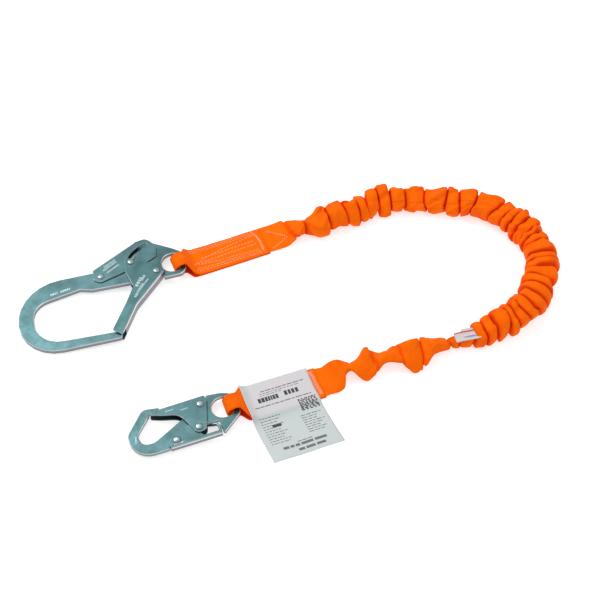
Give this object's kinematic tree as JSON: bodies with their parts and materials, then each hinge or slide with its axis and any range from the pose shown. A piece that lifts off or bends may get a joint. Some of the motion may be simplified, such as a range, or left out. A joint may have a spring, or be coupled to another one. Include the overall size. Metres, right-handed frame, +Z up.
{
  "type": "shock absorbing lanyard",
  "caption": "Gathered orange web lanyard with an inner shock absorber, a wide scaffold hook at one end and a self-locking snap hook at the other, laid out in a U on the floor.",
  "frame": {"origin": "bottom centre of the box round the two hooks, their web eyes and the main label, on the floor plane", "axes": "+X towards the loop of the leg, away from the hook noses, +Y towards the scaffold hook's side, +Z up"},
  "size_m": [0.6795, 0.4141, 0.0444],
  "materials": {
    "zinc_steel": "satin zinc plate with a faint teal tint",
    "bright_steel": "bright plated rivet heads",
    "spring_steel": "drawn wire",
    "orange_web": "bright orange woven polyester",
    "core_web": "undyed woven core",
    "elastic": "black covered elastic",
    "label_sheet": "matt white sheet"
  },
  "bodies": {
    "web_leg": {"stretch_web_tube": "orange_web", "scaffold_web_eye": "orange_web", "snap_web_eye": "orange_web", "shock_absorbing_core": "core_web", "elastic_cord_outer": "elastic", "elastic_cord_inner": "elastic", "main_label": "label_sheet", "leg_tag": "label_sheet"},
    "scaffold_hook": {"scaffold_hook_body": "zinc_steel", "scaffold_gate_pivot_rivet": "bright_steel", "scaffold_lever_pivot_rivet": "bright_steel", "scaffold_gate_spring": "spring_steel", "scaffold_lever_spring": "spring_steel"},
    "scaffold_gate_set": {"scaffold_gate": "zinc_steel", "scaffold_lock_pin": "bright_steel"},
    "scaffold_lever_set": {"scaffold_lock_lever": "zinc_steel"},
    "snap_hook": {"snap_hook_body": "zinc_steel", "snap_gate_pivot_rivet": "bright_steel", "snap_lever_pivot_rivet": "bright_steel", "snap_gate_spring": "spring_steel", "snap_lever_spring": "spring_steel"},
    "snap_gate_set": {"snap_gate": "zinc_steel", "snap_lock_pin": "bright_steel"},
    "snap_lever_set": {"snap_lock_lever": "zinc_steel"}
  },
  "joints": [
    {"name": "scaffold_hook_tilt", "type": "hinge", "parent": "web_leg", "child": "scaffold_hook", "pos_m": [-0.00077, 0.11286, 0.01157], "axis": [-0.2334, 0.9724, 0], "range_deg": [0, 70]},
    {"name": "scaffold_gate_turn", "type": "hinge", "parent": "scaffold_hook", "child": "scaffold_gate_set", "pos_m": [-0.0315, 0.0953, 0.01027], "axis": [-0.0372, -0.0089, 0.9993], "range_deg": [-42, 0], "stiffness_Nm_per_rad": 0.6, "springref_deg": 17.19, "deforming": ["scaffold_gate_spring", "scaffold_lever_spring"]},
    {"name": "scaffold_lever_turn", "type": "hinge", "parent": "scaffold_hook", "child": "scaffold_lever_set", "pos_m": [-0.10187, 0.08879, 0.00759], "axis": [-0.0372, -0.0089, 0.9993], "range_deg": [-8.8, 0], "stiffness_Nm_per_rad": 0.3, "springref_deg": 8.59, "deforming": ["scaffold_lever_spring"]},
    {"name": "snap_hook_tilt", "type": "hinge", "parent": "web_leg", "child": "snap_hook", "pos_m": [0.07235, -0.10294, 0.01022], "axis": [-0.3256, 0.9455, 0], "range_deg": [0, 70]},
    {"name": "snap_gate_turn", "type": "hinge", "parent": "snap_hook", "child": "snap_gate_set", "pos_m": [0.0323, -0.1051, 0.00871], "axis": [-0.037, -0.0127, 0.9992], "range_deg": [0, 24], "stiffness_Nm_per_rad": 0.6, "springref_deg": -17.19, "deforming": ["snap_gate_spring", "snap_lever_spring"]},
    {"name": "snap_lever_turn", "type": "hinge", "parent": "snap_hook", "child": "snap_lever_set", "pos_m": [0.00731, -0.15252, 0.00718], "axis": [-0.037, -0.0127, 0.9992], "range_deg": [0, 9], "stiffness_Nm_per_rad": 0.3, "springref_deg": -8.59, "deforming": ["snap_lever_spring"]}
  ],
  "couplings": [
    {"joint": "scaffold_lever_turn", "follows": "scaffold_gate_turn", "ratio": 0.2095},
    {"joint": "snap_lever_turn", "follows": "snap_gate_turn", "ratio": 0.375}
  ]
}
